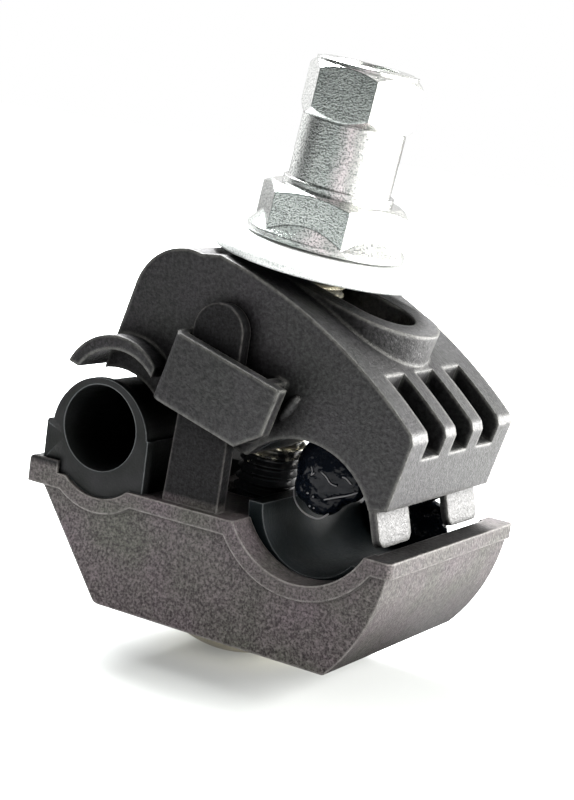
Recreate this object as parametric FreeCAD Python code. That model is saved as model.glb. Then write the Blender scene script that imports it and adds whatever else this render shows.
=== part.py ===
import FreeCAD, Part
import math
import os

from FreeCAD import Vector as V

# Tap connector for insulated overhead line, lengths in millimetres.
# Drawing frame: bolt hole on x = 0, y = 0, top of the lower flange at z = 0,
# the main line groove toward +X, both grooves running along Y.
# At the end everything moves so that the axis of the main line is the origin.

# Lower jaw
flange_left = -21.4
flange_right = 30.0
flange_half = 17.1
flange_thick = 1.9
body_half = 16.6
base_z = -15.2
base_left = -10.4
base_right = 23.1
flank_left = -20.2
flank_bulge_x = 27.6
flank_bulge_z = -8.4
lip_height = 1.6
lip_reach = 0.9
lip_wide = 1.6
lip_corner = 3.5

# Grooves of the lower jaw
main_x = 17.3
main_z = 2.05
main_r = 7.25
seal_thick = 2.0
seal_half = 13.0
main_lip_x = 17.5
main_lip_z = 4.85
main_lip_r = 10.2
tap_lip_x = -11.8
tap_lip_z = 5.4
tap_lip_r = 7.2
seal_left_top = 2.0
seal_right_top = -2.5
channel_left = 23.9
channel_right = 26.9
channel_half = 14.4
channel_floor = -7.0

# Guide tongue on the front wall of the lower jaw
tongue_front = -15.9
tongue_back = -14.1
tongue_left = -2.6
tongue_base = 8.0
tongue_tip = 7.0
tongue_lean = 0.073
tongue_top = 25.2

# Rubber boot and cap of the tap groove
tap_x = -12.5
tap_z = 7.0
tap_r = 5.5
boot_ring_z = 6.2
boot_ring_r = 7.2
boot_left = -20.6
boot_right = -5.1
horn_top = 6.7
seat_gap = 0.04
boot_front = -16.6
cap_r = 6.9
cap_end = 21.5
cap_wall = 1.5
cap_edge = 1.0

# Piercing blades
blade_y = 7.5
blade_thick = 2.0
tooth_high = 1.1
tooth_step = 9.0
low_bar_top = -8.0
low_bar_high = 3.0
low_bar_left = -11.4
low_tap_foot = -6.0
low_tap_tip = 5.8
up_bar_top = 19.0
up_bar_high = 3.2

# Upper jaw in its own level frame, tipped at the end
rest_tilt = 16.0
tilt_z = 10.0
upper_half = 13.8
boot_back = upper_half + 0.3
wall_left = -15.3
corner_x = -8.0
corner_z = 21.5
crest_left = -5.5
crest_right = -2.0
crest_z = 29.8
roof_mid_x = 12.5
roof_mid_z = 27.6
shoulder_x = 26.3
shoulder_z = 22.2
wall_right = 26.9
shoulder_drop = 0.9
foot_x = 27.2
foot_z = 12.6
foot_in_x = 25.4
foot_in_z = 11.7
under_z = 9.6
arch_x = 17.0
arch_z = 5.0
arch_r = 10.4
arch_seal_r = 10.25
arch_seal_thick = 1.95
arch_seal_half = 12.0
tap_arch_x = -11.0
tap_arch_z = 3.2
tap_arch_r = 7.8

# Bolt slot and boss in the roof
slot_half = 4.7
slot_x0 = -1.5
slot_x1 = 10.3
slot_low_x1 = 4.1
slot_step_z = 21.0
boss_r = 7.9

# Rib slots over the shoulder
rib_pitch = 7.5
rib_half = 2.35
rib_deep = 3.5
rib_start = 18.8
rib_end_z = 18.9

# Loop on the front that holds the tongue
loop_left = -5.4
loop_right = 10.7
loop_low = 11.3
loop_high = 20.1
loop_front = -18.0
loop_thick = 1.8
loop_wall = 1.0
loop_web_x = 7.8
loop_web_thick = 1.4
loop_cut = 2.9

# Hood over the mouth of the tap groove
hood_x = -11.0
hood_z = 8.0
hood_r = 7.7
hood_inner_x = -10.4
hood_inner_z = 7.2
hood_inner_r = 6.9
hood_front = -17.0
hood_right = -6.6
hood_back = -10.0

# Springy legs under the right wall
leg_top_x = 26.05
leg_top_z = 11.4
leg_tip_x = 28.1
leg_tip_z = 8.1
leg_thick = 1.0
leg_in = 5.2
leg_out = 13.2
leg_root = 1.2
leg_round = 1.2

# Bolt group, lengths along the bolt from the point it rocks about
bolt_tilt = 7.24
pivot_x = 0.40
pivot_z = -14.64
bolt_r = 4.0
head_r = 9.6
head_under = -2.05
head_bottom = -6.45
dome_bands = 4
neck_half = 4.0
neck_top = 2.6
bolt_top = 61.0
washer_low = 45.12
washer_thick = 2.48
washer_high = washer_low + washer_thick
washer_edge = 0.6
washer_r = 13.4
washer_bore_r = 4.5
nut_gap = 0.3
nut_low = washer_high + nut_gap
nut_flange_r = 10.0
nut_rim = 0.7
low_hex_z = nut_low + 2.03
low_hex_high = 3.37
low_hex_top = low_hex_z + low_hex_high
low_hex_flats = 17.0
neck_ring_r = 7.0
neck_ring_top = low_hex_top + 1.9
neck_r = 6.5
neck_long = 7.8
collar_z = neck_ring_top + neck_long
up_hex_z = collar_z + 1.17
up_hex_high = 4.73
up_hex_top = up_hex_z + up_hex_high
up_hex_flats = 13.0
nut_top = up_hex_top + 1.4
nut_bore_gap = 0.05
hex_turn = -79.7

# Clearances
hole_gap = 0.4
pocket_gap = 0.5

Y_AXIS = V(0, 1, 0)
Z_AXIS = V(0, 0, 1)


def block(x0, x1, y0, y1, z0, z1):
    return Part.makeBox(x1 - x0, y1 - y0, z1 - z0, V(x0, y0, z0))


def rod_y(x, z, r, y0, y1):
    return Part.makeCylinder(r, y1 - y0, V(x, y0, z), Y_AXIS)


def pt(x, z):
    return V(x, 0, z)


def line(a, b):
    return Part.makeLine(a, b)


def arc(a, b, c):
    return Part.Arc(a, b, c).toShape()


def prism(edges, y0, y1):
    face = Part.Face(Part.Wire(edges))
    solid = face.extrude(V(0, y1 - y0, 0))
    solid.translate(V(0, y0, 0))
    return solid


def poly(points, y0, y1):
    ring = points + [points[0]]
    return prism([line(ring[i], ring[i + 1]) for i in range(len(points))], y0, y1)


def stadium(x0, x1, r, z0, z1):
    left = Part.makeCylinder(r, z1 - z0, V(x0, 0, z0))
    right = Part.makeCylinder(r, z1 - z0, V(x1, 0, z0))
    return left.fuse([right, block(x0, x1, -r, r, z0, z1)]).removeSplitter()


def round_edges(solid, radius, wanted):
    picked = [e for e in solid.Edges if wanted(e)]
    return solid.makeFillet(radius, picked)


def along_y(x, z, reach=0.2):
    def wanted(edge):
        c = edge.CenterOfMass
        box = edge.BoundBox
        flat = box.XLength < 0.01 and box.ZLength < 0.01
        return flat and abs(c.x - x) < reach and abs(c.z - z) < reach
    return wanted


def ring_teeth(x, z, tip, a0, a1, y0, y1):
    root = tip + tooth_high
    count = int(abs(a1 - a0) // tooth_step)
    step = math.radians((a1 - a0) / count)
    teeth = []
    for i in range(count):
        mid = math.radians(a0) + (i + 0.5) * step
        sides = []
        for turn, r in ((-0.5 * step, root + 0.3), (0.0, tip), (0.5 * step, root + 0.3)):
            sides.append(pt(x + r * math.cos(mid + turn), z + r * math.sin(mid + turn)))
        teeth.append(poly(sides, y0, y1))
    return teeth


# Lower blades, one toothed plate through both grooves
def lower_blade(y_mid):
    y0 = y_mid - blade_thick / 2
    y1 = y_mid + blade_thick / 2
    tip = main_r + 0.2
    low = low_bar_top - low_bar_high
    main_end = block(main_x - 7.6, main_x + 5.0, y0, y1, low, main_z - 3.4)
    tap_end = block(tap_x - 3.4, tap_x + 3.4, y0, y1, low_tap_foot, tap_z - low_tap_tip)
    bar = block(low_bar_left, main_x + 5.0, y0, y1, low, low_bar_top)
    riser = block(low_bar_left, tap_x + 3.4, y0, y1, low, low_tap_foot + 1)
    plate = bar.fuse([main_end, tap_end, riser])
    plate = plate.cut(rod_y(main_x, main_z, tip + tooth_high, y0 - 1, y1 + 1))
    plate = plate.cut(rod_y(tap_x, tap_z, low_tap_tip + tooth_high, y0 - 1, y1 + 1))
    teeth = ring_teeth(main_x, main_z, tip, 218, 305, y0, y1)
    teeth += ring_teeth(tap_x, tap_z, low_tap_tip, 243, 297, y0, y1)
    return plate.fuse(teeth).removeSplitter()


# Upper blades, in the level frame of the upper jaw
def upper_blade(y_mid):
    y0 = y_mid - blade_thick / 2
    y1 = y_mid + blade_thick / 2
    low = up_bar_top - up_bar_high
    tap_tip = tap_arch_r + 0.1
    bar = block(tap_arch_x - 3.2, arch_x + 5.8, y0, y1, low, up_bar_top)
    main_end = block(arch_x - 7.0, arch_x + 5.8, y0, y1, arch_z + 7.0, low + 0.5)
    tap_end = block(tap_arch_x - 3.2, tap_arch_x + 3.2, y0, y1, tap_arch_z + 6.5, low + 0.5)
    plate = bar.fuse([main_end, tap_end])
    plate = plate.cut(rod_y(arch_x, arch_z, arch_r + tooth_high, y0 - 1, y1 + 1))
    plate = plate.cut(rod_y(tap_arch_x, tap_arch_z, tap_tip + tooth_high, y0 - 1, y1 + 1))
    teeth = ring_teeth(arch_x, arch_z, arch_r, 60, 132, y0, y1)
    teeth += ring_teeth(tap_arch_x, tap_arch_z, tap_tip, 68, 112, y0, y1)
    return plate.fuse(teeth).removeSplitter()


def lower_seal():
    outer = main_r + seal_thick
    ring = rod_y(main_x, main_z, outer, -seal_half, seal_half)
    ring = ring.cut(rod_y(main_x, main_z, main_r, -seal_half - 1, seal_half + 1))
    left = block(main_x - outer, main_x, -seal_half, seal_half, main_z - outer, seal_left_top)
    right = block(main_x, channel_left, -seal_half, seal_half, main_z - outer, seal_right_top)
    return ring.common(left.fuse(right)).removeSplitter()


def upper_seal():
    outer = arch_seal_r + arch_seal_thick
    ring = rod_y(arch_x, arch_z, outer, -arch_seal_half, arch_seal_half)
    ring = ring.cut(rod_y(arch_x, arch_z, arch_seal_r, -arch_seal_half - 1, arch_seal_half + 1))
    left = block(arch_x - outer, arch_x, -arch_seal_half, arch_seal_half, under_z + 0.7, arch_z + outer)
    right = block(arch_x, wall_right - 1.6, -arch_seal_half, arch_seal_half, foot_z, arch_z + outer)
    return ring.common(left.fuse(right)).removeSplitter()


def tongue():
    back = tongue_back
    tip_z = tongue_top - tongue_tip / 2
    lean = tongue_lean * tip_z
    mid = tongue_left + lean + tongue_tip / 2
    edges = [
        line(pt(tongue_left, -1.0), pt(tongue_left + lean, tip_z)),
        arc(pt(tongue_left + lean, tip_z), pt(mid, tongue_top), pt(mid + tongue_tip / 2, tip_z)),
        line(pt(mid + tongue_tip / 2, tip_z), pt(tongue_left + tongue_base, -1.0)),
        line(pt(tongue_left + tongue_base, -1.0), pt(tongue_left, -1.0)),
    ]
    return prism(edges, tongue_front, back)


def lower_jaw(blades):
    top = -0.4
    edges = [
        line(pt(base_left, base_z), pt(flank_left, -flange_thick)),
        line(pt(flank_left, -flange_thick), pt(flank_left, top)),
        line(pt(flank_left, top), pt(flange_right - 0.4, top)),
        arc(pt(flange_right - 0.4, top), pt(flank_bulge_x, flank_bulge_z), pt(base_right, base_z)),
        line(pt(base_right, base_z), pt(base_left, base_z)),
    ]
    body = prism(edges, -body_half, body_half)
    body = round_edges(body, 1.2, along_y(base_left, base_z))
    body = round_edges(body, 0.8, along_y(base_right, base_z))
    flange = block(flange_left, flange_right, -flange_half, flange_half, -flange_thick, 0)
    flange = round_edges(flange, 0.8, lambda e: e.BoundBox.ZLength > 1.0)
    below = block(flange_left, flange_right, -20, 20, base_z, 0)
    skirts = []
    for x, z, r in ((main_lip_x, main_lip_z, main_lip_r), (tap_lip_x, tap_lip_z, tap_lip_r)):
        skirt = rod_y(x, z, r + flange_thick, -flange_half, flange_half)
        skirts.append(skirt.common(below))
    lip = block(flange_left - lip_reach, flange_left - lip_reach + lip_wide, -flange_half, flange_half,
                -flange_thick, lip_height)
    lip = round_edges(lip, 0.7, along_y(flange_left - lip_reach, lip_height))
    corners = []
    for side in (-1, 1):
        y0, y1 = sorted((side * flange_half, side * (body_half + 0.1)))
        corners.append(block(flange_left - lip_reach + 0.7, flange_left + lip_corner, y0, y1,
                             -flange_thick, lip_height))
    jaw = body.fuse([flange, lip] + skirts + corners)
    jaw = jaw.fuse(tongue())
    jaw = jaw.cut(rod_y(tap_lip_x, tap_lip_z, tap_lip_r, -20, 20).common(
        block(-30, 30, -20, 20, -10, 0.001)))
    keep_tongue = block(main_lip_x - 8.98, 60, -20, 20, -10, 20)
    jaw = jaw.cut(rod_y(main_lip_x, main_lip_z, main_lip_r, -20, 20).common(keep_tongue))
    outer = main_r + seal_thick
    jaw = jaw.cut(rod_y(main_x, main_z, outer, -seal_half, seal_half))
    jaw = jaw.cut(block(channel_left, channel_right, -channel_half, channel_half, channel_floor, 2))
    rest_x = pivot_x - pivot_z * math.tan(math.radians(bolt_tilt))
    slot = stadium(pivot_x, rest_x, bolt_r + hole_gap, base_z - 1, 1)
    pocket = block(pivot_x - neck_half - pocket_gap, pivot_x + neck_half + pocket_gap + 0.3,
                   -neck_half - hole_gap, neck_half + hole_gap, base_z - 1, pivot_z + neck_top + 1.0)
    jaw = jaw.cut([slot, pocket])
    jaw = jaw.cut(blades)
    return jaw.removeSplitter()


def tap_boot(blades):
    block_part = block(boot_left, boot_right, boot_front, boot_back, 0, horn_top)
    block_part = round_edges(block_part, 1.2, along_y(boot_left, 0))
    block_part = round_edges(block_part, 0.6, along_y(boot_left, horn_top))
    seat = rod_y(tap_lip_x, tap_lip_z, tap_lip_r - seat_gap, boot_front, boot_back)
    seat = seat.common(block(-30, 0, -20, 20, -10, 0.6))
    ring = rod_y(tap_x, boot_ring_z, boot_ring_r, boot_front, boot_back)
    boot = block_part.fuse([seat, ring.common(block(-30, 0, -20, 20, 0, 30))])
    boot = boot.cut(rod_y(tap_x, tap_z, tap_r, boot_front - 1, boot_back + 1))
    for side in (-1, 1):
        y = side * blade_y
        boot = boot.cut(block(tap_x - 2.5, tap_x + 2.5, y - blade_thick / 2, y + blade_thick / 2,
                              tap_z, tap_z + 10))
    boot = boot.cut(blades)
    return boot.removeSplitter()


def end_cap():
    floor = cap_end - cap_wall
    edges = [
        line(V(cap_r, boot_back, 0), V(cap_r, cap_end - cap_edge, 0)),
        line(V(cap_r, cap_end - cap_edge, 0), V(cap_r - cap_edge, cap_end, 0)),
        line(V(cap_r - cap_edge, cap_end, 0), V(0, cap_end, 0)),
        line(V(0, cap_end, 0), V(0, floor, 0)),
        line(V(0, floor, 0), V(tap_r, floor, 0)),
        line(V(tap_r, floor, 0), V(tap_r, boot_back, 0)),
        line(V(tap_r, boot_back, 0), V(cap_r, boot_back, 0)),
    ]
    cap = Part.Face(Part.Wire(edges)).revolve(V(0, 0, 0), Y_AXIS, 360)
    cap.translate(V(tap_x, 0, tap_z))
    return cap


def upper_outline():
    r = corner_x - wall_left
    half = math.sqrt(0.5) * r
    knee = pt(wall_right, shoulder_z - shoulder_drop)
    return [
        line(pt(wall_left, under_z), pt(wall_left, corner_z)),
        arc(pt(wall_left, corner_z), pt(corner_x - half, corner_z + half), pt(corner_x, corner_z + r)),
        line(pt(corner_x, corner_z + r), pt(crest_left, crest_z)),
        line(pt(crest_left, crest_z), pt(crest_right, crest_z)),
        arc(pt(crest_right, crest_z), pt(roof_mid_x, roof_mid_z), pt(shoulder_x, shoulder_z)),
        line(pt(shoulder_x, shoulder_z), knee),
        line(knee, pt(foot_x, foot_z)),
        line(pt(foot_x, foot_z), pt(foot_in_x, foot_in_z)),
        line(pt(foot_in_x, foot_in_z), pt(arch_x, under_z)),
        line(pt(arch_x, under_z), pt(wall_left, under_z)),
    ]


def rib_slot(y):
    cut = block(rib_start, 40, y - rib_half, y + rib_half, rib_end_z, 40)
    cut = round_edges(cut, 1.0, lambda e: e.BoundBox.YLength > 1 and e.BoundBox.ZMax < rib_end_z + 1
                      and e.BoundBox.XMax < rib_start + 1)
    drop = rib_deep
    inner = [
        pt(rib_start - 3.0, roof_mid_z - 1.2 - drop * 0.4),
        pt(shoulder_x - drop, shoulder_z - drop * 0.35),
        pt(shoulder_x - drop + 0.6, rib_end_z),
        pt(wall_left, rib_end_z),
        pt(wall_left, roof_mid_z - 1.2),
    ]
    return cut.cut(poly(inner, y - rib_half - 1, y + rib_half + 1))


def loop():
    low_cut = loop_right - loop_cut
    plate_back = loop_front + loop_thick
    plate = poly([
        pt(loop_left, loop_low), pt(low_cut, loop_low), pt(loop_right, loop_low + loop_cut),
        pt(loop_right, loop_high), pt(loop_left, loop_high)], loop_front, plate_back)
    left = block(loop_left, loop_left + loop_wall, plate_back, -upper_half + 0.5, loop_low, loop_high)
    web_low = loop_low + 0.1
    web = poly([
        pt(loop_web_x, web_low), pt(loop_web_x + loop_web_thick, web_low + loop_web_thick),
        pt(loop_web_x + loop_web_thick, loop_high), pt(loop_web_x, loop_high)],
        plate_back, -upper_half + 0.5)
    band = plate.fuse([left, web]).removeSplitter()
    corner = [e for e in band.Edges
              if e.BoundBox.ZLength > 8 and abs(e.CenterOfMass.x - loop_left) < 0.01
              and abs(e.CenterOfMass.y - loop_front) < 0.01]
    return band.makeFillet(1.5, corner)


def hood():
    shell = rod_y(hood_x, hood_z, hood_r, hood_front, hood_back)
    shell = shell.cut(rod_y(hood_inner_x, hood_inner_z, hood_inner_r, hood_front - 1, hood_back + 1))
    return shell.common(block(-30, hood_right, -20, 0, hood_z + 1.3, 40))


def leg(side):
    run = V(leg_tip_x - leg_top_x, 0, leg_tip_z - leg_top_z)
    run.normalize()
    inward = V(run.z, 0, -run.x)
    top = pt(leg_top_x, leg_top_z) - run * leg_root
    tip = pt(leg_tip_x, leg_tip_z)
    y0, y1 = sorted((side * leg_in, side * leg_out))
    flap = poly([top, tip, tip + inward * leg_thick, top + inward * leg_thick], y0, y1)
    low = [e for e in flap.Edges
           if abs(e.Length - leg_thick) < 0.01 and e.CenterOfMass.z < leg_tip_z]
    return flap.makeFillet(leg_round, low)


def upper_jaw(seal, blades):
    shell = prism(upper_outline(), -upper_half, upper_half)
    shell = round_edges(shell, 1.0, along_y(shoulder_x, shoulder_z))
    boss = stadium(slot_x0, slot_x1, boss_r, slot_step_z, crest_z)
    boss = boss.common(block(crest_left, 40, -20, 20, 0, 60))
    shell = shell.cut(rod_y(arch_x, arch_z, arch_r, -upper_half - 1, upper_half + 1))
    jaw = shell.fuse([boss, hood(), loop(), leg(-1), leg(1)])
    jaw = jaw.cut(rod_y(tap_arch_x, tap_arch_z, tap_arch_r, -upper_half - 1, upper_half + 1))
    jaw = jaw.cut(stadium(slot_x0, slot_x1, slot_half, slot_step_z, crest_z + 1))
    jaw = jaw.cut(stadium(slot_x0, slot_low_x1, slot_half, 0, slot_step_z + 1))
    jaw = jaw.cut([rib_slot(i * rib_pitch) for i in (-1, 0, 1)])
    jaw = jaw.cut(seal)
    jaw = jaw.cut(blades)
    return jaw.removeSplitter()


def turned(radii_heights):
    ring = radii_heights + [radii_heights[0]]
    edges = []
    for (r0, z0), (r1, z1) in zip(ring, ring[1:]):
        edges.append(line(V(r0, 0, z0), V(r1, 0, z1)))
    return Part.Face(Part.Wire(edges)).revolve(V(0, 0, 0), Z_AXIS, 360)


def carriage_bolt():
    rim = 0.5
    rim_z = head_under - rim
    sag = rim_z - head_bottom
    ball = (head_r ** 2 + sag ** 2) / (2 * sag)
    lean = math.asin(head_r / ball)
    dome = []
    for i in range(dome_bands + 1):
        turn = lean * i / dome_bands
        dome.append((ball * math.sin(turn), head_bottom + ball * (1 - math.cos(turn))))
    head = turned(dome + [(head_r - 0.4, head_under), (0, head_under)])
    neck = block(-neck_half, neck_half, -neck_half, neck_half, head_under - 0.2, neck_top)
    shank = Part.makeCylinder(bolt_r, bolt_top - head_under, V(0, 0, head_under))
    return head.fuse([neck, shank]).removeSplitter()


def washer():
    edge = washer_edge
    low = washer_low
    high = washer_high
    return turned([(washer_bore_r, low), (washer_r, low), (washer_r, high - edge),
                   (washer_r - edge, high), (washer_bore_r, high)])


def hexagon(flats, z0, z1):
    r = flats / math.sqrt(3)
    points = []
    for i in range(7):
        a = math.radians(60 * i + 30 + hex_turn)
        points.append(V(r * math.cos(a), r * math.sin(a), z0))
    face = Part.Face(Part.makePolygon(points))
    return face.extrude(V(0, 0, z1 - z0))


def shear_nut():
    low_r = low_hex_flats / math.sqrt(3)
    up_r = up_hex_flats / math.sqrt(3)
    flange = turned([(0, nut_low), (nut_flange_r, nut_low), (nut_flange_r, nut_low + nut_rim),
                     (low_hex_flats / 2 - 0.1, low_hex_z + 0.5), (0, low_hex_z + 0.5)])
    low = hexagon(low_hex_flats, nut_low + nut_rim, low_hex_top + 1.0)
    low = low.common(turned([(0, nut_low), (low_r + 0.2, nut_low), (low_r + 0.2, low_hex_top),
                             (low_hex_flats / 2 - 0.4, low_hex_top + 1.0), (0, low_hex_top + 1.0)]))
    neck = turned([(0, low_hex_top), (neck_ring_r, low_hex_top), (neck_ring_r, neck_ring_top),
                   (neck_r, neck_ring_top), (neck_r, collar_z),
                   (up_hex_flats / 2 - 0.1, collar_z), (up_hex_flats / 2 - 0.1, nut_top - 0.2),
                   (0, nut_top - 0.2)])
    up = hexagon(up_hex_flats, collar_z, nut_top)
    up = up.common(turned([(0, collar_z), (up_hex_flats / 2 - 0.2, collar_z), (up_r, up_hex_z),
                           (up_r, up_hex_top), (up_hex_flats / 2 - 0.9, nut_top), (0, nut_top)]))
    nut = flange.fuse([low, neck, up])
    bore = Part.makeCylinder(bolt_r + nut_bore_gap, nut_top - nut_low + 2, V(0, 0, nut_low - 1))
    return nut.cut(bore).removeSplitter()


def place_upper(shape):
    shape.rotate(V(0, 0, tilt_z), Y_AXIS, rest_tilt)
    return shape


def place_bolt(shape):
    shape.rotate(V(0, 0, 0), Y_AXIS, bolt_tilt)
    shape.translate(V(pivot_x, 0, pivot_z))
    return shape


low_blades = [lower_blade(-blade_y), lower_blade(blade_y)]
up_blades = [upper_blade(-blade_y), upper_blade(blade_y)]
slot_clear = stadium(slot_x0, slot_low_x1, slot_half, 0, slot_step_z)
up_seal_full = upper_seal()

parts = {
    "lower_jaw": lower_jaw(low_blades),
    "lower_main_seal": lower_seal().cut(low_blades).removeSplitter(),
    "lower_blade_front": low_blades[0],
    "lower_blade_rear": low_blades[1],
    "tap_boot": tap_boot(low_blades),
    "end_cap": end_cap(),
    "carriage_bolt": place_bolt(carriage_bolt()),
    "washer": place_bolt(washer()),
    "shear_nut": place_bolt(shear_nut()),
    "upper_jaw": place_upper(upper_jaw(up_seal_full, up_blades)),
    "upper_main_seal": place_upper(up_seal_full.cut(up_blades + [slot_clear]).removeSplitter()),
    "upper_blade_front": place_upper(up_blades[0]),
    "upper_blade_rear": place_upper(up_blades[1]),
}

os.makedirs("parts", exist_ok=True)
for node, shape in parts.items():
    shape.translate(V(-main_x, 0, -main_z))
    print(node, "solids", len(shape.Solids), "valid", shape.isValid(), "volume", round(shape.Volume, 1))
    shape.exportStep("parts/" + node + ".step")
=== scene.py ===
# %% [markdown]
# # A tap connector for overhead line
# The object is a clamp with two black plastic jaws, a zinc-plated bolt with a twist-off nut,
# and rubber seals. The imported model gives every piece in its true place. This script dresses
# it. It gives each surface a finish, and it models what is finer than the solids: the bolt's
# thread, the washer's sloping rim, a small nub, the grease, and a slimmer boot.

# %% Load the imported model
import math

import bmesh
import bpy
from mathutils import Matrix, Vector


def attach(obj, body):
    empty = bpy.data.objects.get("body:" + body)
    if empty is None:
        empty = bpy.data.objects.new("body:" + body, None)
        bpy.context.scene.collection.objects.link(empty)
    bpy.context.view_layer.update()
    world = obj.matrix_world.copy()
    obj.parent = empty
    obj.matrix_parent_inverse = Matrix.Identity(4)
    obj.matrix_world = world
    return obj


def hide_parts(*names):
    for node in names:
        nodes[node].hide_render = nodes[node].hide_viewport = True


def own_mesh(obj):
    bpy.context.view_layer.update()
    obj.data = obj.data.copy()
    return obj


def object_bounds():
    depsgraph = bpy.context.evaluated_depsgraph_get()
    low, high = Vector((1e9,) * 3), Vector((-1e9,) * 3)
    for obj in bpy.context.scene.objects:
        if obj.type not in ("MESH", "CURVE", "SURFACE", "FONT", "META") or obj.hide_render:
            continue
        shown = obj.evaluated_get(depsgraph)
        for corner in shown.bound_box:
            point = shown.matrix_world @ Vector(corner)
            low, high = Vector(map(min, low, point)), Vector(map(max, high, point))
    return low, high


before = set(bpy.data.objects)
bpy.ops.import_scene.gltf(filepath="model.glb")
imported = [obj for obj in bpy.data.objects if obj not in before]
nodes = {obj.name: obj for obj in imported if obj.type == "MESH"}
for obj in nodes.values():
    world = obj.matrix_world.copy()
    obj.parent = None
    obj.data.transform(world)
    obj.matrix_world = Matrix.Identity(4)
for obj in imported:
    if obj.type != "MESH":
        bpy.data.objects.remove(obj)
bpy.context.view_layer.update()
MM = 0.001
print("nodes:", sorted(nodes))

# %% [markdown]
# ## The camera
# The photograph was taken from the front right, slightly above, with a long lens, and the
# camera was a little rolled, so the object leans to the right. The lens is given in
# millimetres on a 36 mm high sensor. to_track_quat points the camera, and one more turn about
# its own axis rolls it.

# %% Camera
camera_eye = Vector((100.105, -198.716, 50.364)) * MM
camera_look = Vector((-0.48822, 0.85555, -0.17225))
camera_roll = math.radians(7.56)

camera_data = bpy.data.cameras.new("camera")
camera_data.sensor_fit = "VERTICAL"
camera_data.sensor_height = 36.0
camera_data.lens = 82.45
camera_data.clip_start = 0.01
camera = bpy.data.objects.new("camera", camera_data)
level_view = camera_look.to_track_quat("-Z", "Y").to_matrix().to_4x4()
camera.matrix_world = (
    Matrix.Translation(camera_eye) @ level_view @ Matrix.Rotation(camera_roll, 4, "Z")
)
bpy.context.scene.collection.objects.link(camera)
bpy.context.scene.camera = camera
bpy.context.scene.view_settings.view_transform = "Standard"
print("camera looks along", [round(v, 3) for v in camera_look])

# %% [markdown]
# ## Small helpers for nodes
# The world, the floor and every finish are built from the same few nodes, so each kind has a
# short function. What goes into a node is a plain number, a colour, or what another node
# gives. A fade is a straight or soft slope between two numbers, and a ramp does the same with
# colours.

# %% Node helpers


def new_node(tree, kind, **settings):
    node = tree.nodes.new(kind)
    for setting, value in settings.items():
        setattr(node, setting, value)
    return node


def feed(tree, socket, value):
    if isinstance(value, bpy.types.NodeSocket):
        tree.links.new(value, socket)
    else:
        socket.default_value = value


def arithmetic(tree, operation, *values):
    node = new_node(tree, "ShaderNodeMath", operation=operation)
    for socket, value in zip(node.inputs, values):
        feed(tree, socket, value)
    return node.outputs[0]


def times(tree, first, second):
    return arithmetic(tree, "MULTIPLY", first, second)


def dot(tree, first, second):
    node = new_node(tree, "ShaderNodeVectorMath", operation="DOT_PRODUCT")
    feed(tree, node.inputs[0], first)
    feed(tree, node.inputs[1], second)
    return node.outputs["Value"]


def along(tree, vector, axis):
    node = new_node(tree, "ShaderNodeSeparateXYZ")
    tree.links.new(vector, node.inputs["Vector"])
    return node.outputs[axis]


def fade(tree, value, start, end, first=0.0, last=1.0, slope="LINEAR"):
    node = new_node(tree, "ShaderNodeMapRange", interpolation_type=slope)
    node.inputs["From Min"].default_value = start
    node.inputs["From Max"].default_value = end
    node.inputs["To Min"].default_value = first
    node.inputs["To Max"].default_value = last
    tree.links.new(value, node.inputs["Value"])
    return node.outputs["Result"]


def grey(level):
    return (level, level, level, 1.0)


def ramp(tree, value, *stops):
    node = new_node(tree, "ShaderNodeValToRGB")
    band = node.color_ramp
    while len(band.elements) < len(stops):
        band.elements.new(0.5)
    for element, (place, colour) in zip(band.elements, stops):
        element.position = place
        element.color = colour
    tree.links.new(value, node.inputs["Fac"])
    return node.outputs["Color"]


def grey_ramp(tree, value, *stops):
    return ramp(tree, value, *[(place, grey(level)) for place, level in stops])


def blend_colour(tree, factor, first, second, mode="MIX"):
    node = new_node(tree, "ShaderNodeMix", data_type="RGBA", blend_type=mode)
    for index, value in ((0, factor), (6, first), (7, second)):
        feed(tree, node.inputs[index], value)
    return node.outputs[2]


def multiply(tree, colour, other):
    return blend_colour(tree, 1.0, colour, other, "MULTIPLY")


print("node helpers ready")

# %% [markdown]
# ## Small helpers for finishes
# Every finish is a Principled shader with procedural noise on Object coordinates. The pieces
# sit at the origin unturned, so one millimetre of noise is one millimetre on the part. Bumps
# are laid over one another, each with what gives its height, its strength and its depth in
# millimetres, and the first of them can start from a normal that is rounded at the edges.

# %% Finish helpers


def new_finish(name):
    finish = bpy.data.materials.new(name)
    finish.use_nodes = True
    tree = finish.node_tree
    shader = tree.nodes["Principled BSDF"]
    where = new_node(tree, "ShaderNodeTexCoord").outputs["Object"]
    return finish, tree, shader, where


def set_shader(tree, shader, values):
    for socket, value in values.items():
        feed(tree, shader.inputs[socket], value)


def varied(base, factors):
    return tuple(level * factor for level, factor in zip(base, factors)) + (1.0,)


def noise(tree, where, size_mm, detail=3.0, rough=0.5):
    node = new_node(tree, "ShaderNodeTexNoise")
    node.inputs["Scale"].default_value = 1.0 / (size_mm * MM)
    node.inputs["Detail"].default_value = detail
    node.inputs["Roughness"].default_value = rough
    tree.links.new(where, node.inputs["Vector"])
    return node.outputs["Fac"]


def bumps(tree, shader, layers, first_normal=None):
    last = first_normal
    for height, strength, depth_mm in layers:
        node = new_node(tree, "ShaderNodeBump")
        node.inputs["Strength"].default_value = strength
        node.inputs["Distance"].default_value = depth_mm * MM
        tree.links.new(height, node.inputs["Height"])
        if last is not None:
            tree.links.new(last, node.inputs["Normal"])
        last = node.outputs["Normal"]
    tree.links.new(last, shader.inputs["Normal"])


print("finish helpers ready")

# %% [markdown]
# ## The studio
# The photograph has a pure white ground with a faint soft shadow. The world is white for the
# camera and for what is seen through glass, and a calmer grey for the soft light on matt
# surfaces. Polished metal needs something dark to mirror, or it turns into plain white, so for
# reflections the world is dark towards the front left, as the unlit room was, and white
# everywhere else.

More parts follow.
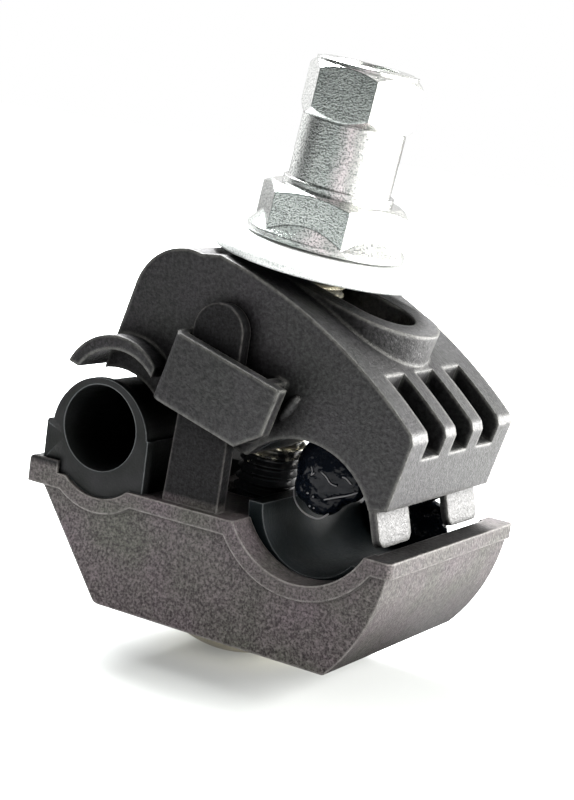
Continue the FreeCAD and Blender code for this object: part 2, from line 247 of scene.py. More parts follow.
# %% World light
world = bpy.data.worlds.new("studio_world")
bpy.context.scene.world = world
world.use_nodes = True
sky = world.node_tree
sky.nodes.clear()


def background(colour, strength):
    node = new_node(sky, "ShaderNodeBackground")
    feed(sky, node.inputs["Color"], colour)
    feed(sky, node.inputs["Strength"], strength)
    return node.outputs[0]


def choose_light(factor, first, second):
    node = new_node(sky, "ShaderNodeMixShader")
    for socket, value in zip(node.inputs, (factor, first, second)):
        sky.links.new(value, socket)
    return node.outputs[0]


soft_strength = 0.42
white_strength, room_strength = 1.15, 0.07
room_side = (-0.50, -0.85, 0.05)
direction = new_node(sky, "ShaderNodeTexCoord").outputs["Generated"]
towards_room = dot(sky, direction, room_side)
room_fade = fade(sky, towards_room, 0.25, 0.80, white_strength, room_strength, "SMOOTHSTEP")

seen = background((1.0, 1.0, 1.0, 1.0), 1.0)
soft = background((0.97, 1.0, 0.99, 1.0), soft_strength)
mirrored = background((1.0, 1.0, 0.99, 1.0), room_fade)

ray = new_node(sky, "ShaderNodeLightPath").outputs
seen_ray = arithmetic(sky, "MAXIMUM", ray["Is Camera Ray"], ray["Is Transmission Ray"])
on_surfaces = choose_light(ray["Is Glossy Ray"], soft, mirrored)
sky_light = choose_light(seen_ray, on_surfaces, seen)
sky.links.new(sky_light, new_node(sky, "ShaderNodeOutputWorld").inputs["Surface"])
print("world strength on matt surfaces:", soft_strength)

# %% [markdown]
# ## Lamps
# The right-hand faces of the jaws are the brightest in the photograph, and their edges glow. So
# the key light is a large soft lamp low on the right, where it hardly shades the floor. A second
# one, low behind on the right, only adds shine. A smaller but strong one high on the left, a
# little behind, gives the soft shadow that falls towards the viewer and to the right. A weak
# lamp in front keeps the front faces readable. It isn't mirrored, as it would stand in the
# middle of the dark room that the nut's faces show.

# %% Lamps
lamps_aim = Vector((-0.012, 0.0, 0.008))


def soft_lamp(name, place, size, power, colour):
    data = bpy.data.lights.new(name, "AREA")
    data.shape = "SQUARE"
    data.size = size
    data.energy = power
    data.color = colour
    place = Vector(place)
    turn = (lamps_aim - place).to_track_quat("-Z", "Y").to_matrix().to_4x4()
    lamp = bpy.data.objects.new(name, data)
    lamp.matrix_world = Matrix.Translation(place) @ turn
    bpy.context.scene.collection.objects.link(lamp)
    print(name, "at", [round(v, 2) for v in place])
    return lamp


soft_lamp("lamp_right", place=(0.48, 0.06, 0.12), size=0.50, power=13.0,
          colour=(1.0, 0.985, 0.955))
lamp_back = soft_lamp("lamp_back", place=(0.27, 0.42, 0.08), size=0.25, power=4.5,
                      colour=(1.0, 0.99, 0.97))
lamp_back.visible_diffuse = False
soft_lamp("lamp_left", place=(-0.24, 0.18, 0.42), size=0.30, power=16.0,
          colour=(1.0, 1.0, 1.0))
lamp_front = soft_lamp("lamp_front", place=(-0.25, -0.42, 0.16), size=0.22, power=1.3,
                       colour=(1.0, 0.97, 0.95))
lamp_front.visible_glossy = False

# %% [markdown]
# ## The floor
# A large plane just under the bolt's head catches the shadow. The camera sees it in a pale grey,
# which the lamps light up to white near the object. Further out they no longer reach it, so
# what the camera sees there glows more and more, until it is as white as the backdrop. The
# object itself meets a darker grey floor, or its black faces would look pale from below.

# %% Floor
floor_gap = 0.0004
floor_size = 1.5
glow_start, glow_full = 0.06, 0.22
glow_near, glow_far = 0.06, 1.0
floor_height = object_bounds()[0][2] - floor_gap
floor_bm = bmesh.new()
bmesh.ops.create_grid(floor_bm, x_segments=1, y_segments=1, size=floor_size)
bmesh.ops.translate(floor_bm, verts=floor_bm.verts, vec=(0.0, 0.0, floor_height))
floor_mesh = bpy.data.meshes.new("floor")
floor_bm.to_mesh(floor_mesh)
floor_bm.free()
floor = bpy.data.objects.new("floor", floor_mesh)
bpy.context.scene.collection.objects.link(floor)

floor_paint, floor_tree, floor_shader, floor_where = new_finish("floor_paint")
reach = new_node(floor_tree, "ShaderNodeVectorMath", operation="LENGTH")
floor_tree.links.new(floor_where, reach.inputs[0])
glow = fade(floor_tree, reach.outputs["Value"], glow_start, glow_full, glow_near, glow_far,
            "SMOOTHSTEP")
to_camera = new_node(floor_tree, "ShaderNodeLightPath").outputs["Is Camera Ray"]
set_shader(floor_tree, floor_shader, {
    "Base Color": blend_colour(floor_tree, to_camera, grey(0.42), (0.64, 0.66, 0.66, 1.0)),
    "Roughness": 0.9,
    "Specular IOR Level": 0.0,
    "Emission Color": (1.0, 1.0, 1.0, 1.0),
    "Emission Strength": times(floor_tree, glow, to_camera),
})
floor.data.materials.append(floor_paint)
print("floor at", round(floor_height, 4))

# %% [markdown]
# ## Jaw plastic
# The jaws are black glass-filled nylon. Seen close it is matt with a fine gritty grain, lighter
# flecks where fibres reach the skin, and pale edges that are partly rubbed and partly a painted
# highlight. One fine noise gives the flecks and the roughness, and a coarser one gives patches
# half a millimetre wide that vary the colour and the shine. Both also raise the surface in
# bumps, over slow waves. The edges come from comparing the face's normal with a rounded one.
# Painted shade darkens recesses and takes away their shine.

# %% Masks for edges, recesses and places


def rounded_edge(tree, radius_mm):
    bevel = new_node(tree, "ShaderNodeBevel", samples=6)
    bevel.inputs["Radius"].default_value = radius_mm * MM
    return bevel.outputs["Normal"]


def edge_mask(tree, rounded, low=0.86, high=0.985):
    flat = new_node(tree, "ShaderNodeNewGeometry").outputs["Normal"]
    return grey_ramp(tree, dot(tree, rounded, flat), (low, 1.0), (high, 0.0))


# painted shade: ambient occlusion gives a grey that darkens recesses
def recess_shade(tree, reach_mm, darkest):
    hollow = new_node(tree, "ShaderNodeAmbientOcclusion", samples=8)
    hollow.inputs["Distance"].default_value = reach_mm * MM
    return grey_ramp(tree, hollow.outputs["AO"], (0.25, darkest), (0.90, 1.0))


def fade_along(tree, where, axis, low_mm, high_mm, first=0.0, last=1.0):
    return fade(tree, along(tree, where, axis), low_mm * MM, high_mm * MM, first, last)


print("masks ready")

# %% [markdown]
# ## What sets the two jaws apart
# The lower jaw is the lighter one. Its tongue stands above the flange, whose top is at
# z = -2.05 mm, and gets painted shade, so it is darker and shines less. Painted shade also lies
# on the top faces right of the main groove's axis, except near the back, darkens the right flank
# towards its foot, and fades the shine of the whole jaw downwards. The upper jaw is nearly black.
# Painted shade fades its shine to the left, and a painted sheen makes the faces that look right
# shine more. Where these start is given in millimetres, in the jaw's arguments.

# %% Jaw plastic finish
tongue_step_mm = 0.8
tongue_shade_black = (0.006, 0.006, 0.0065, 1.0)
top_shade_black = (0.008, 0.008, 0.0085, 1.0)


# painted shade on the top faces right of the main groove's axis, under the upper jaw, fading out
# near the back
def painted_top_shade(tree, where, facing):
    top_shade = grey_ramp(tree, along(tree, facing, "Z"), (0.85, 0.0), (0.95, 1.0))
    top_shade = times(tree, top_shade, fade_along(tree, where, "X", 1.0, 4.0))
    return times(tree, top_shade, fade_along(tree, where, "Y", 8.0, 13.0, 0.85, 0.0))


# painted shade at the foot of the right flank, on colour and shine
def painted_foot_shade(tree, where, facing):
    side = grey_ramp(tree, along(tree, facing, "X"), (0.3, 0.0), (0.6, 1.0))
    low = times(tree, side, fade_along(tree, where, "Z", -16.0, -7.0, 1.0, 0.0))
    return grey_ramp(tree, low, (0.0, 1.0), (1.0, 0.30))


def jaw_plastic(name, base, grain, edge, rough_low, rough_high, sheen, round_mm,
                shade_above=None, shade_below=None, shade_left=None, top_and_foot_shade=False):
    finish, tree, shader, where = new_finish(name)
    facing = where.node.outputs["Normal"]

    # painted shade on the tongue above the flange, full a small step higher
    def tongue_shade(first, last):
        return fade_along(tree, where, "Z", shade_above, shade_above + tongue_step_mm, first, last)

    cloud = noise(tree, where, size_mm=7.0)
    colour = ramp(tree, cloud, (0.3, varied(base, (0.86, 0.93, 0.83))),
                  (0.7, varied(base, (1.16, 1.05, 1.16))))
    # painted shade: the tongue is darkened to near black
    if shade_above is not None:
        colour = blend_colour(tree, tongue_shade(0.0, 1.0), colour, tongue_shade_black)
    grit = noise(tree, where, size_mm=0.30, detail=2.0, rough=0.7)
    flecks = grey_ramp(tree, grit, (0.35, 1.0 - grain), (0.5, 1.0), (0.68, 1.0 + grain))
    blotch = noise(tree, where, size_mm=0.55, detail=2.0, rough=0.6)
    patches = grey_ramp(tree, blotch, (0.35, 0.76), (0.65, 1.24))
    colour = multiply(tree, multiply(tree, colour, flecks), patches)
    # painted shade on the top faces and at the foot of the right flank
    if top_and_foot_shade:
        top_shade = painted_top_shade(tree, where, facing)
        foot_shade = painted_foot_shade(tree, where, facing)
        colour = multiply(tree, blend_colour(tree, top_shade, colour, top_shade_black), foot_shade)

    rounded = rounded_edge(tree, round_mm)
    # pale edges: partly wear broken up by scuffs, partly a painted highlight
    scuffs = noise(tree, where, size_mm=0.8, detail=4.0, rough=0.7)
    broken = grey_ramp(tree, scuffs, (0.35, 0.35), (0.6, 1.0))
    worn_and_lit_edges = multiply(tree, edge_mask(tree, rounded), broken)
    # under the tongue's painted shade its edges are less pale
    if shade_above is not None:
        worn_and_lit_edges = times(tree, worn_and_lit_edges, tongue_shade(1.0, 0.3))
    colour = blend_colour(tree, worn_and_lit_edges, colour, edge)
    # painted shade in recesses, on colour and shine
    shade = recess_shade(tree, reach_mm=5.5, darkest=0.10)

    gloss = times(tree, times(tree, shade, sheen), patches)
    # painted shade on the shine: it fades downwards
    if shade_below is not None:
        above = fade_along(tree, where, "Z", shade_below, shade_below + 12.0, 0.3, 1.0)
        gloss = times(tree, gloss, above)
    # painted shade: the tongue shines less
    if shade_above is not None:
        gloss = times(tree, gloss, tongue_shade(1.0, 0.45))
    # the painted top shade and foot shade also take away shine
    if top_and_foot_shade:
        dulled = grey_ramp(tree, top_shade, (0.0, 1.0), (0.85, 0.2))
        gloss = times(tree, times(tree, gloss, dulled), foot_shade)
    # painted shade fades the shine to the left, and a painted sheen lights the faces that look
    # right
    if shade_left is not None:
        right = fade_along(tree, where, "X", shade_left, shade_left + 34.0, 0.3, 1.0)
        right_sheen = grey_ramp(tree, along(tree, facing, "X"), (0.84, 1.0), (0.94, 1.8))
        gloss = times(tree, times(tree, gloss, right), right_sheen)

    set_shader(tree, shader, {
        "Base Color": multiply(tree, colour, shade),
        "Roughness": grey_ramp(tree, grit, (0.3, rough_low), (0.7, rough_high)),
        "Specular IOR Level": gloss,
    })
    waves = noise(tree, where, size_mm=2.4)
    layers = [(waves, 0.25, 0.25), (blotch, 0.45, 0.12), (grit, 0.75, 0.10)]
    bumps(tree, shader, layers, rounded)
    return finish


lower_plastic = jaw_plastic(
    "lower_jaw_plastic", base=(0.058, 0.053, 0.052), grain=0.7, edge=(0.24, 0.23, 0.22, 1.0),
    rough_low=0.42, rough_high=0.62, sheen=0.25, round_mm=0.5,
    shade_above=-1.6, shade_below=-18.0, top_and_foot_shade=True)
upper_plastic = jaw_plastic(
    "upper_jaw_plastic", base=(0.0085, 0.0085, 0.0092), grain=0.8, edge=(0.12, 0.12, 0.112, 1.0),
    rough_low=0.40, rough_high=0.60, sheen=0.44, round_mm=0.9, shade_left=-40.0)
print("jaw plastics made")

# %% [markdown]
# ## Seal rubber
# The boot, the cap and the seals are a nearly black rubber with a slightly blue-green cast,
# smoother than the plastic. Soft clouds vary its colour, its edges get a little painted
# highlight, and painted shade makes it darkest deep inside the boot and the grooves.

# %% Seal rubber finish
rubber_edge_highlight = (0.12, 0.13, 0.135, 1.0)


def seal_rubber(name, base, rough, sheen):
    finish, tree, shader, where = new_finish(name)
    cloud = noise(tree, where, size_mm=4.0, detail=4.0)
    fine = noise(tree, where, size_mm=0.25)
    rounded = rounded_edge(tree, radius_mm=0.3)
    # painted shade deep inside the boot and the grooves, on colour and shine
    shade = recess_shade(tree, reach_mm=11.0, darkest=0.05)
    tint = ramp(tree, cloud, (0.3, varied(base, (0.60, 0.66, 0.60))),
                (0.7, varied(base, (1.45, 1.35, 1.45))))
    # painted highlight: the edges get a paler colour
    colour = blend_colour(tree, edge_mask(tree, rounded), tint, rubber_edge_highlight)
    set_shader(tree, shader, {
        "Base Color": multiply(tree, colour, shade),
        "Roughness": grey_ramp(tree, fine, (0.3, rough - 0.06), (0.7, rough + 0.08)),
        "Specular IOR Level": times(tree, shade, sheen),
    })
    bumps(tree, shader, [(cloud, 0.3, 0.3), (fine, 0.55, 0.06)], rounded)
    return finish


boot_rubber = seal_rubber("boot_rubber", base=(0.009, 0.010, 0.010), rough=0.46, sheen=0.14)
saddle_rubber = seal_rubber("saddle_rubber", base=(0.005, 0.008, 0.009), rough=0.42, sheen=0.09)
print("rubbers made")

# %% [markdown]
# ## Zinc plate
# The washer and the nut are bright zinc-plated steel. In the photograph they are almost white,
# with dark speckles on the hexagon faces where the plating is grainy, and thin dark lines along
# their edges. Faces that are seen at a slant get painted shade. The clear passivation shows faint
# tints, and painted light and shade are laid over them by the way a face looks, so both follow
# the normal in the piece's own space and turn with it.

# %% Zinc finish
tint_and_light_side = (0.87, 0.49, 0.0)
tint_unevenness = 0.35
edge_line = (0.02, 0.022, 0.02, 1.0)
line_strength = 0.75
slant_shade = (0.06, 0.065, 0.06, 1.0)


def zinc_plate(name, tints_and_light, speck, rough_low, rough_high, grain, metallic):
    finish, tree, shader, where = new_finish(name)
    cloud = noise(tree, where, size_mm=3.2, detail=2.0)
    grit = noise(tree, where, size_mm=0.22, detail=2.0, rough=0.75)
    # the side a face looks to sets its tint and its painted light and shade
    turned = dot(tree, where.node.outputs["Normal"], tint_and_light_side)
    uneven = arithmetic(tree, "MULTIPLY_ADD", cloud, tint_unevenness, turned)
    plate_and_light = ramp(tree, fade(tree, uneven, -0.83, 1.17), *tints_and_light)
    specks = grey_ramp(tree, grit, (0.50, 0.0), (0.62, 1.0))
    colour = blend_colour(tree, specks, plate_and_light, speck)

    rounded = rounded_edge(tree, radius_mm=0.25)
    line = times(tree, edge_mask(tree, rounded, low=0.80, high=0.97), line_strength)
    colour = blend_colour(tree, line, colour, edge_line)
    # painted shade on faces seen at a slant
    slant = new_node(tree, "ShaderNodeLayerWeight")
    slant.inputs["Blend"].default_value = 0.5
    slanted = grey_ramp(tree, slant.outputs["Facing"], (0.80, 0.0), (0.95, 0.8))
    set_shader(tree, shader, {
        "Base Color": blend_colour(tree, slanted, colour, slant_shade),
        "Metallic": metallic,
        "Roughness": grey_ramp(tree, grit, (0.35, rough_low), (0.65, rough_high)),
    })
    bumps(tree, shader, [(cloud, 0.15, 0.12), (grit, grain, 0.06)], rounded)
    return finish


# around the nut the tint and painted light go from white to pale green, dark green, pink, grey
# and white again
nut_tints_and_light = [
    (0.04, (0.90, 0.91, 0.90, 1.0)),
    (0.24, (0.76, 0.82, 0.79, 1.0)),
    (0.36, (0.52, 0.57, 0.55, 1.0)),
    (0.50, (0.74, 0.68, 0.69, 1.0)),
    (0.56, (0.50, 0.50, 0.49, 1.0)),
    (0.78, (0.90, 0.90, 0.86, 1.0)),
]
# painted light: the washer is lighter on the faces that look right
washer_tints_and_light = [
    (0.0, (0.70, 0.74, 0.73, 1.0)),
    (0.5, (0.80, 0.82, 0.81, 1.0)),
    (1.0, (0.84, 0.85, 0.84, 1.0)),
]
zinc = zinc_plate("zinc_plate", nut_tints_and_light, speck=(0.20, 0.22, 0.21, 1.0),
                  rough_low=0.10, rough_high=0.24, grain=0.55, metallic=1.0)
bright_zinc = zinc_plate("bright_zinc_washer", washer_tints_and_light, speck=(0.46, 0.50, 0.49, 1.0),
                         rough_low=0.30, rough_high=0.45, grain=0.15, metallic=0.4)
print("zinc made")

# %% [markdown]
# ## The greased shank
# Inside the jaws the bolt is dark, partly from the grease of the seals and partly from painted
# shade. Only the crests of the upper threads stay clean and glint yellowish. The mesh carries two
# numbers, crest and head, that are 1 on the crests and on the dome head, which is clean. The dark
# smear follows them, the height on the part and a noise, so its edge is ragged.

# %% Greased shank finish
shade_and_grease_black = (0.008, 0.009, 0.010, 1.0)
clean_yellow = (0.72, 0.68, 0.54, 1.0)
shank_zinc, shank_tree, shank_shader, shank_where = new_finish("greased_and_shaded_shank")
# painted shade and grease: the shank is dark below a ragged height
level = fade_along(shank_tree, shank_where, "Z", 0.5, 8.5)
ragged = noise(shank_tree, shank_where, size_mm=1.4, rough=0.6)
clean = arithmetic(shank_tree, "ADD", level, ragged)
bare = grey_ramp(shank_tree, clean, (0.85, 0.0), (1.0, 1.0))
crest = new_node(shank_tree, "ShaderNodeAttribute", attribute_name="crest").outputs["Fac"]
head = new_node(shank_tree, "ShaderNodeAttribute", attribute_name="head").outputs["Fac"]
# painted shade and grease off the crests: the roots and flanks of the thread stay dark
on_crest = grey_ramp(shank_tree, crest, (0.45, 0.12), (0.9, 1.0))
bare = blend_colour(shank_tree, head, multiply(shank_tree, bare, on_crest), grey(1.0))
set_shader(shank_tree, shank_shader, {
    "Base Color": blend_colour(shank_tree, bare, shade_and_grease_black, clean_yellow),
    "Metallic": bare,
    "Roughness": 0.25,
    "Specular IOR Level": 0.3,
})
bumps(shank_tree, shank_shader, [(ragged, 0.3, 0.15)])
print("shank finish made")

# %% [markdown]
# ## Blade metal
# The blades are tinned copper, dull from grease.

# %% Blade finish
blade_tin, blade_tree, blade_shader, blade_where = new_finish("blade_tin")
blade_cloud = noise(blade_tree, blade_where, size_mm=1.5, detail=4.0)
blade_tint = ramp(blade_tree, blade_cloud, (0.3, (0.42, 0.38, 0.30, 1.0)),
                  (0.7, (0.66, 0.62, 0.55, 1.0)))
set_shader(blade_tree, blade_shader,
           {"Base Color": blade_tint, "Metallic": 1.0, "Roughness": 0.38})
bumps(blade_tree, blade_shader, [(blade_cloud, 0.3, 0.08)])
print("blade finish made")

# %% [markdown]
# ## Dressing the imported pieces
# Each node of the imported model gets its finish, and what the list leaves out is a blade. The
# bolt, the washer and the boot are replaced by new pieces further on.

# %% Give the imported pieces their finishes
finishes = {
    "lower_jaw": lower_plastic,
    "upper_jaw": upper_plastic,
    "lower_main_seal": saddle_rubber,
    "upper_main_seal": saddle_rubber,
    "tap_boot": boot_rubber,
    "end_cap": boot_rubber,
    "carriage_bolt": zinc,
    "washer": zinc,
    "shear_nut": zinc,
}
for name, node in nodes.items():
    node.data.materials.clear()
    node.data.materials.append(finishes.get(name, blade_tin))
print("finishes given to", len(nodes), "nodes")

# %% [markdown]
# ## Making new pieces
# New pieces are shaped with bmesh and finished in place, with their object at the origin. They
# are drawn in millimetres in a frame of their own, whose origin lies between the grooves at
# the height of the flange's top. A turned piece is a thin profile that is spun a full turn
# about Z. The bolt group leans, so its pieces are modelled upright about the point that the
# bolt rocks on and then leaned in the mesh.

# %% Piece helpers
merge_mm = 1e-4
sharp_angle = math.radians(35.0)
drawing_origin = Vector((-17.3, 0.0, -2.05)) * MM
bolt_pivot = Vector((0.40, 0.0, -14.64)) * MM
bolt_angle = math.radians(7.24)
drawing_place = Matrix.Translation(drawing_origin) @ Matrix.Scale(MM, 4)
bolt_lean = (
    Matrix.Translation(bolt_pivot + drawing_origin)
    @ Matrix.Rotation(bolt_angle, 4, "Y")
    @ Matrix.Scale(MM, 4)
)


def add_piece(name, bm, finish, body, place=None):
    if place is not None:
        bmesh.ops.transform(bm, matrix=place, verts=bm.verts)
    mesh = bpy.data.meshes.new(name)
    bm.to_mesh(mesh)
    bm.free()
    for face in mesh.polygons:
        face.use_smooth = True
    mesh.materials.append(finish)
    piece = bpy.data.objects.new(name, mesh)
    bpy.context.scene.collection.objects.link(piece)
    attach(piece, body)
    print(name, "has", len(mesh.polygons), "faces")
    return piece


def spin_profile(bm, points, steps=64):
    verts = [bm.verts.new((r, 0.0, z)) for r, z in points]
    edges = [bm.edges.new(pair) for pair in zip(verts, verts[1:])]
    bmesh.ops.spin(bm, geom=verts + edges, cent=(0, 0, 0), axis=(0, 0, 1),
                   angle=math.tau, steps=steps, use_merge=True, use_duplicate=False)
    bmesh.ops.remove_doubles(bm, verts=bm.verts, dist=merge_mm)
    bmesh.ops.recalc_face_normals(bm, faces=bm.faces)


print("bolt leans", round(math.degrees(bolt_angle), 2), "degrees")

# %% [markdown]
# ## The carriage bolt
# The bolt has a low dome head and a square neck. The dome is an arc of a large ball, whose
# radius follows from the head's radius and its height.

# %% Bolt head and neck
head_r, head_rim, head_bottom = 9.6, -2.55, -6.45
dome_bands = 12
sag = head_rim - head_bottom
ball_r = (head_r ** 2 + sag ** 2) / (2 * sag)
dome = []
for i in range(dome_bands + 1):
    lean = math.asin(head_r / ball_r) * i / dome_bands
    dome.append((ball_r * math.sin(lean), head_bottom + ball_r * (1 - math.cos(lean))))
head_top = [(9.45, -2.2), (9.1, -2.05), (4.2, -2.05)]
neck_size = (8.0, 8.0, 4.85)
neck_middle = (0, 0, 0.175)
neck_bevel = 0.4

bolt_bm = bmesh.new()
spin_profile(bolt_bm, dome + head_top)
neck = bmesh.ops.create_cube(bolt_bm, size=1.0)["verts"]
bmesh.ops.scale(bolt_bm, verts=neck, vec=neck_size)
bmesh.ops.translate(bolt_bm, verts=neck, vec=neck_middle)
neck_edges = list({edge for vert in neck for edge in vert.link_edges})
bmesh.ops.bevel(bolt_bm, geom=neck_edges, offset=neck_bevel, offset_type="OFFSET", segments=2,
                profile=0.5, affect="EDGES", material=-1)
print("bolt head and neck have", len(bolt_bm.faces), "faces")

# %% [markdown]
# ## The thread
# A thread could be a texture, but its crests show in the slot of the roof and in the groove, so
# it is real here. One V-shaped profile is spun many turns round a plain core while it climbs by
# the pitch.

# %% Bolt thread
pitch = 1.25
thread_low, thread_high = 2.6, 61.0
root_r, crest_r = 3.36, 3.98
core_r = root_r + 0.02
crest_band = 0.05
turns = int((thread_high - thread_low - pitch) / pitch)
steps_a_turn = 28
head_line = -2.0

core = bmesh.ops.create_cone(bolt_bm, cap_ends=True, segments=48, radius1=core_r,
                             radius2=core_r, depth=thread_high - thread_low)["verts"]
bmesh.ops.translate(bolt_bm, verts=core, vec=(0, 0, (thread_high + thread_low) / 2))
ridge = [(root_r, 0.0), (crest_r, 0.46), (crest_r, 0.60), (root_r, 1.06), (root_r, pitch)]
ridge_verts = [bolt_bm.verts.new((r, 0.0, thread_low + z)) for r, z in ridge]
ridge_edges = [bolt_bm.edges.new(pair) for pair in zip(ridge_verts, ridge_verts[1:])]
bmesh.ops.spin(bolt_bm, geom=ridge_verts + ridge_edges, cent=(0, 0, 0), axis=(0, 0, 1),
               dvec=(0, 0, pitch / steps_a_turn), angle=math.tau * turns,
               steps=steps_a_turn * turns, use_duplicate=False)
bmesh.ops.remove_doubles(bolt_bm, verts=bolt_bm.verts, dist=merge_mm)
bmesh.ops.recalc_face_normals(bolt_bm, faces=bolt_bm.faces)

crest_mark = bolt_bm.verts.layers.float.new("crest")
head_mark = bolt_bm.verts.layers.float.new("head")
for vert in bolt_bm.verts:
    vert[head_mark] = 1.0 if vert.co.z < head_line else 0.0
    is_crest = vert.co.z > thread_low and vert.co.xy.length > crest_r - crest_band
    vert[crest_mark] = 1.0 if is_crest else 0.0
threaded_bolt = add_piece("threaded_bolt", bolt_bm, shank_zinc, "bolt", bolt_lean)
threaded_bolt.data.set_sharp_from_angle(angle=sharp_angle)
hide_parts("carriage_bolt")

# %% [markdown]
# ## The washer
# The pressure washer is a thick round disc whose rim slopes like a plate's, so that it catches
# the light from above all round. It is one spun profile.

# %% Washer
washer_low, washer_high = 45.12, 47.6
washer_bore, washer_rim = 4.5, 13.4
washer_profile = [
    (washer_bore, washer_high),
    (washer_bore, washer_low),
    (13.2, washer_low),
    (washer_rim, washer_low + 0.2),
    (washer_rim, washer_low + 0.7),
    (13.25, washer_low + 1.0),
    (12.1, washer_high - 0.15),
    (11.8, washer_high),
    (washer_bore, washer_high),
]
washer_bm = bmesh.new()
spin_profile(washer_bm, washer_profile, steps=96)
pressure_washer = add_piece("pressure_washer", washer_bm, bright_zinc, "washer",
                            bolt_lean)
pressure_washer.data.set_sharp_from_angle(angle=sharp_angle)
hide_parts("washer")

# %% [markdown]
# ## Nub beside the loop
# Just right of the loop a small leaf-shaped nub stands on the upper jaw's front face. It is a
# flattened ball that leans to the right and is half sunk in the face.

# %% Nub beside the loop
nub_radii = (0.75, 0.9, 2.0)
nub_tilt = math.radians(34)
nub_middle = (12.4, -13.8, 14.3)
nub_bm = bmesh.new()
bmesh.ops.create_uvsphere(nub_bm, u_segments=24, v_segments=16, radius=1.0)
bmesh.ops.scale(nub_bm, verts=nub_bm.verts, vec=nub_radii)
bmesh.ops.rotate(nub_bm, verts=nub_bm.verts, cent=(0, 0, 0),
                 matrix=Matrix.Rotation(nub_tilt, 3, "Y"))
bmesh.ops.translate(nub_bm, verts=nub_bm.verts, vec=nub_middle)
add_piece("loop_nub", nub_bm, upper_plastic, "upper", drawing_place)

# %% [markdown]
# ## Grease
# The blades come filled with black grease. One lump hangs in the mouth of the upper arch, shiny
# and drawn out into threads, a second one hangs further in, and a mound lies in the far end of
# the lower groove. The grease is almost black and smooth, and its folds and ripples are bumps.

# %% Grease finish
grease_finish, grease_tree, grease_shader, grease_where = new_finish("black_grease")
set_shader(grease_tree, grease_shader, {
    "Base Color": (0.002, 0.003, 0.005, 1.0),
    "Roughness": 0.10,
    "Specular IOR Level": 0.16,
})
folds = noise(grease_tree, grease_where, size_mm=2.6, detail=2.0)
ripples = noise(grease_tree, grease_where, size_mm=0.9, detail=2.0)
bumps(grease_tree, grease_shader, [(folds, 0.7, 0.9), (ripples, 0.6, 0.35)])
print("grease finish made")

# %% [markdown]
# ## Lumps of grease
# A lump has no edges of its own, so each is a few balls joined by a voxel remesh and smoothed.
# A ball is given by its middle and its three radii.

# %% Grease lumps


def grease_lump(name, body, balls):
    bm = bmesh.new()
    for x, y, z, rx, ry, rz in balls:
        ball = bmesh.ops.create_icosphere(bm, subdivisions=3, radius=1.0)["verts"]
        bmesh.ops.scale(bm, verts=ball, vec=(rx, ry, rz))
        bmesh.ops.translate(bm, verts=ball, vec=(x, y, z))
    lump = add_piece(name, bm, grease_finish, body, drawing_place)
    knit = lump.modifiers.new("knit", "REMESH")
    knit.mode = "VOXEL"
    knit.voxel_size = 0.25 * MM
    knit.use_smooth_shade = True
    ease = lump.modifiers.new("ease", "SMOOTH")
    ease.factor = 0.6
    ease.iterations = 6


grease_lump("front_grease_lump", "upper", (
    (16.4, -9.0, 6.9, 4.5, 2.5, 4.6),
    (16.2, -9.4, 3.5, 2.6, 1.8, 2.0),
    (14.2, -9.0, 4.6, 2.3, 1.8, 2.2),
    (18.9, -9.2, 5.6, 2.6, 1.7, 1.9),
    (19.6, -9.0, 7.4, 2.4, 1.9, 2.6),
))
grease_lump("rear_grease_lump", "upper", (
    (18.3, 7.0, 5.6, 6.0, 2.3, 5.0),
    (22.3, 7.0, 5.2, 2.6, 2.1, 2.5),
))
grease_lump("groove_grease_mound", "lower", (
    (17.0, 11.4, -2.2, 6.7, 1.5, 3.7),
    (20.1, 11.4, -0.4, 3.1, 1.5, 2.3),
))

# %% [markdown]
# ## Threads of grease
# Where the jaws were pulled apart the grease drew thin threads over the front lump. Each is a
# fine round string that runs smoothly through a few given points and thins at its ends. A
# few small drops hang beside them.

# %% Grease threads
string_sides = 6
string_end = 0.45
steps_a_point = 5


def add_string(bm, points, radius):
    rings = []
    for i, point in enumerate(points):
        ahead = points[min(i + 1, len(points) - 1)] - points[max(i - 1, 0)]
        across = ahead.to_track_quat("Z", "Y").to_matrix()
        thin = radius * (string_end if i in (0, len(points) - 1) else 1.0)
        ring = []
        for k in range(string_sides):
            a = math.tau * k / string_sides
            offset = Vector((thin * math.cos(a), thin * math.sin(a), 0))
            ring.append(bm.verts.new(point + across @ offset))
        rings.append(ring)
    for low, high in zip(rings, rings[1:]):
        for k in range(string_sides):
            after = (k + 1) % string_sides
            bm.faces.new((low[k], low[after], high[after], high[k]))
    bm.faces.new(rings[0][::-1])
    bm.faces.new(rings[-1])


def smooth_path(points):
    path = []
    ends = [points[0]] + points + [points[-1]]
    for a, b, c, d in zip(ends, ends[1:], ends[2:], ends[3:]):
        for i in range(steps_a_point):
            t = i / steps_a_point
            path.append(0.5 * (2 * b + (c - a) * t + (2 * a - 5 * b + 4 * c - d) * t ** 2
                               + (3 * b - a - 3 * c + d) * t ** 3))
    path.append(points[-1])
    return path


# each route is a radius and the points that the string runs through
string_routes = (
    (0.13, ((12.1, -9.6, 3.9), (13.0, -10.6, 2.8), (14.6, -11.0, 1.7), (16.6, -11.0, 1.4),
            (17.9, -10.8, 2.3))),
    (0.11, ((17.2, -11.3, 3.9), (18.4, -11.2, 4.4), (20.0, -10.8, 5.0), (21.2, -10.4, 5.6))),
    (0.09, ((16.4, -11.5, 7.2), (17.2, -11.5, 6.8), (17.9, -11.4, 6.1), (18.7, -11.2, 5.9))),
    (0.10, ((19.1, -11.0, 7.1), (19.6, -10.9, 7.0), (20.3, -10.7, 6.4))),
    (0.08, ((15.0, -11.4, 7.5), (15.3, -11.5, 7.0), (15.2, -11.5, 6.5), (15.6, -11.5, 6.9))),
)
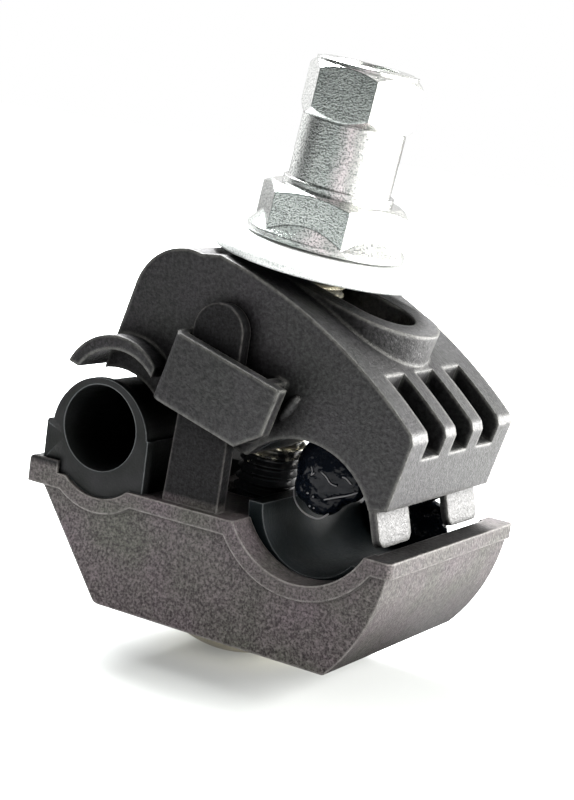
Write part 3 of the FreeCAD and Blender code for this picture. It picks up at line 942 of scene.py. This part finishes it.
# each drop is the point that it hangs at and a radius
drops = (
    (14.9, -11.2, 4.2, 0.16),
    (15.8, -11.4, 4.0, 0.15),
    (15.4, -11.2, 2.7, 0.14),
    (16.0, -11.2, 2.6, 0.12),
)
string_bm = bmesh.new()
for radius, route in string_routes:
    add_string(string_bm, smooth_path([Vector(point) for point in route]), radius)
for x, y, z, r in drops:
    drop = bmesh.ops.create_icosphere(string_bm, subdivisions=2, radius=r)["verts"]
    bmesh.ops.translate(string_bm, verts=drop, vec=(x, y, z))

# painted highlight: the threads and drops are a lighter grey and shinier than the grease they
# come from
string_finish, string_tree, string_shader, string_where = new_finish("grease_thread")
set_shader(string_tree, string_shader, {
    "Base Color": (0.10, 0.10, 0.105, 1.0),
    "Roughness": 0.12,
    "Specular IOR Level": 1.0,
})
string_waves = noise(string_tree, string_where, size_mm=0.6)
bumps(string_tree, string_shader, [(string_waves, 0.4, 0.1)])
add_piece("grease_threads", string_bm, string_finish, "upper", drawing_place)

# %% [markdown]
# ## The slimmer boot
# When the jaws close, the upper jaw presses on the rubber boot. The boot can't turn or slide,
# and its upper half is slimmer than the solid, by 0.2 mm at the mouth and 0.7 mm behind it, so
# that the upper jaw presses on it less when it only levels itself. Two cuts through the mesh just
# behind the mouth keep the step from one to the other short.

# %% Soft boot
bore_x, bore_z = -29.8 * MM, 4.95 * MM
mouth_back, cradle_front = -15.6 * MM, -14.2 * MM
rise_height = 3.5 * MM
mouth_slimming, more_behind = 0.03, 0.08


def part_way(value, start, end):
    return min(max((value - start) / (end - start), 0.0), 1.0)


boot_bm = bmesh.new()
boot_bm.from_mesh(nodes["tap_boot"].data)
bmesh.ops.remove_doubles(boot_bm, verts=boot_bm.verts, dist=0.001 * MM)
bmesh.ops.recalc_face_normals(boot_bm, faces=boot_bm.faces)
for cut in (mouth_back, cradle_front):
    every_part = boot_bm.verts[:] + boot_bm.edges[:] + boot_bm.faces[:]
    bmesh.ops.bisect_plane(boot_bm, geom=every_part, plane_co=(0, cut, 0), plane_no=(0, 1, 0))
for vert in boot_bm.verts:
    rise = part_way(vert.co.z, bore_z, bore_z + rise_height)
    behind = part_way(vert.co.y, mouth_back, cradle_front)
    slim = 1.0 - (mouth_slimming + more_behind * behind) * rise
    vert.co.x = bore_x + (vert.co.x - bore_x) * slim
    vert.co.z = bore_z + (vert.co.z - bore_z) * slim
soft_boot = add_piece("soft_boot", boot_bm, boot_rubber, "lower")
soft_boot.data.set_sharp_from_angle(angle=sharp_angle)
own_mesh(soft_boot)
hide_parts("tap_boot")
